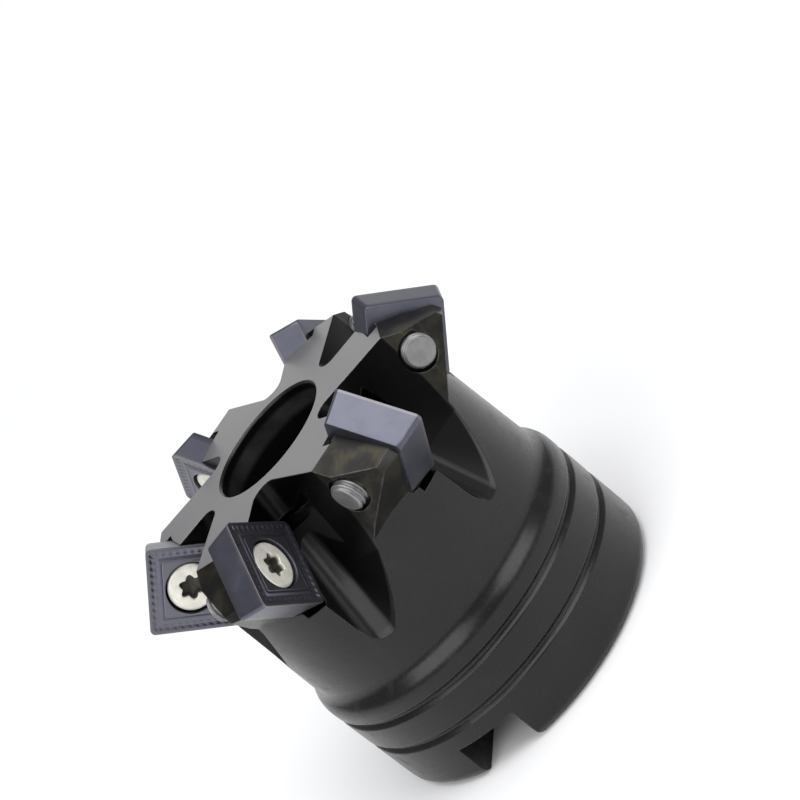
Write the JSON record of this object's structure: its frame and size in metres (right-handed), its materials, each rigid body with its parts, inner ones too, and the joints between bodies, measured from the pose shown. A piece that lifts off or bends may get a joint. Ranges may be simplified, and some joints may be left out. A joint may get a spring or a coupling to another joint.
{
  "type": "face mill",
  "caption": "Shell-type face mill with square indexable inserts at a 45 degree lead, each clamped by a star-recess screw, on a fluted steel body with an arbor bore and a rear drive slot.",
  "frame": {"origin": "centre of the rear mounting face, on the arbor bore's axis", "axes": "+Z along the spindle axis towards the cutting end; the drive slot runs along X, and insert 1 stands on the +X side"},
  "size_m": [0.0634, 0.0582, 0.0538],
  "materials": {
    "body_steel": "black oxide, satin, with the front face ground bright",
    "coated_carbide": "thin lilac-grey hard coating, semi-gloss",
    "screw_steel": "pale plated, satin"
  },
  "bodies": {
    "cutter": {"cutter_body": "body_steel"},
    "insert_1": {"insert_1": "coated_carbide"},
    "insert_screw_1": {"insert_screw_1": "screw_steel"},
    "insert_2": {"insert_2": "coated_carbide"},
    "insert_screw_2": {"insert_screw_2": "screw_steel"},
    "insert_3": {"insert_3": "coated_carbide"},
    "insert_screw_3": {"insert_screw_3": "screw_steel"},
    "insert_4": {"insert_4": "coated_carbide"},
    "insert_screw_4": {"insert_screw_4": "screw_steel"},
    "insert_5": {"insert_5": "coated_carbide"},
    "insert_screw_5": {"insert_screw_5": "screw_steel"},
    "insert_6": {"insert_6": "coated_carbide"},
    "insert_screw_6": {"insert_screw_6": "screw_steel"}
  },
  "joints": [
    {"name": "insert_1_lift", "type": "slide", "parent": "cutter", "child": "insert_1", "axis": [0.0436, 0.999, 0], "range_m": [0, 0.0056]},
    {"name": "insert_screw_1_turn", "type": "hinge", "parent": "insert_1", "child": "insert_screw_1", "pos_m": [0.02301, 0, 0.04515], "axis": [0.0436, 0.999, 0], "range_deg": [0, 2520.5]},
    {"name": "insert_2_lift", "type": "slide", "parent": "cutter", "child": "insert_2", "axis": [-0.8434, 0.5373, 0], "range_m": [0, 0.0056]},
    {"name": "insert_screw_2_turn", "type": "hinge", "parent": "insert_2", "child": "insert_screw_2", "pos_m": [0.0115, 0.01993, 0.04515], "axis": [-0.8434, 0.5373, 0], "range_deg": [0, 2520.5]},
    {"name": "insert_3_lift", "type": "slide", "parent": "cutter", "child": "insert_3", "axis": [-0.887, -0.4617, 0], "range_m": [0, 0.0056]},
    {"name": "insert_screw_3_turn", "type": "hinge", "parent": "insert_3", "child": "insert_screw_3", "pos_m": [-0.0115, 0.01993, 0.04515], "axis": [-0.887, -0.4617, 0], "range_deg": [0, 2520.5]},
    {"name": "insert_4_lift", "type": "slide", "parent": "cutter", "child": "insert_4", "axis": [-0.0436, -0.999, 0], "range_m": [0, 0.0056]},
    {"name": "insert_screw_4_turn", "type": "hinge", "parent": "insert_4", "child": "insert_screw_4", "pos_m": [-0.02301, 0, 0.04515], "axis": [-0.0436, -0.999, 0], "range_deg": [0, 2520.5]},
    {"name": "insert_5_lift", "type": "slide", "parent": "cutter", "child": "insert_5", "axis": [0.8434, -0.5373, 0], "range_m": [0, 0.0056]},
    {"name": "insert_screw_5_turn", "type": "hinge", "parent": "insert_5", "child": "insert_screw_5", "pos_m": [-0.0115, -0.01993, 0.04515], "axis": [0.8434, -0.5373, 0], "range_deg": [0, 2520.5]},
    {"name": "insert_6_lift", "type": "slide", "parent": "cutter", "child": "insert_6", "axis": [0.887, 0.4617, 0], "range_m": [0, 0.0056]},
    {"name": "insert_screw_6_turn", "type": "hinge", "parent": "insert_6", "child": "insert_screw_6", "pos_m": [0.0115, -0.01993, 0.04515], "axis": [0.887, 0.4617, 0], "range_deg": [0, 2520.5]}
  ],
  "couplings": [
    {"joint": "insert_screw_1_turn", "follows": "insert_1_lift", "rad_per_m": 7854},
    {"joint": "insert_screw_2_turn", "follows": "insert_2_lift", "rad_per_m": 7854},
    {"joint": "insert_screw_3_turn", "follows": "insert_3_lift", "rad_per_m": 7854},
    {"joint": "insert_screw_4_turn", "follows": "insert_4_lift", "rad_per_m": 7854},
    {"joint": "insert_screw_5_turn", "follows": "insert_5_lift", "rad_per_m": 7854},
    {"joint": "insert_screw_6_turn", "follows": "insert_6_lift", "rad_per_m": 7854}
  ]
}
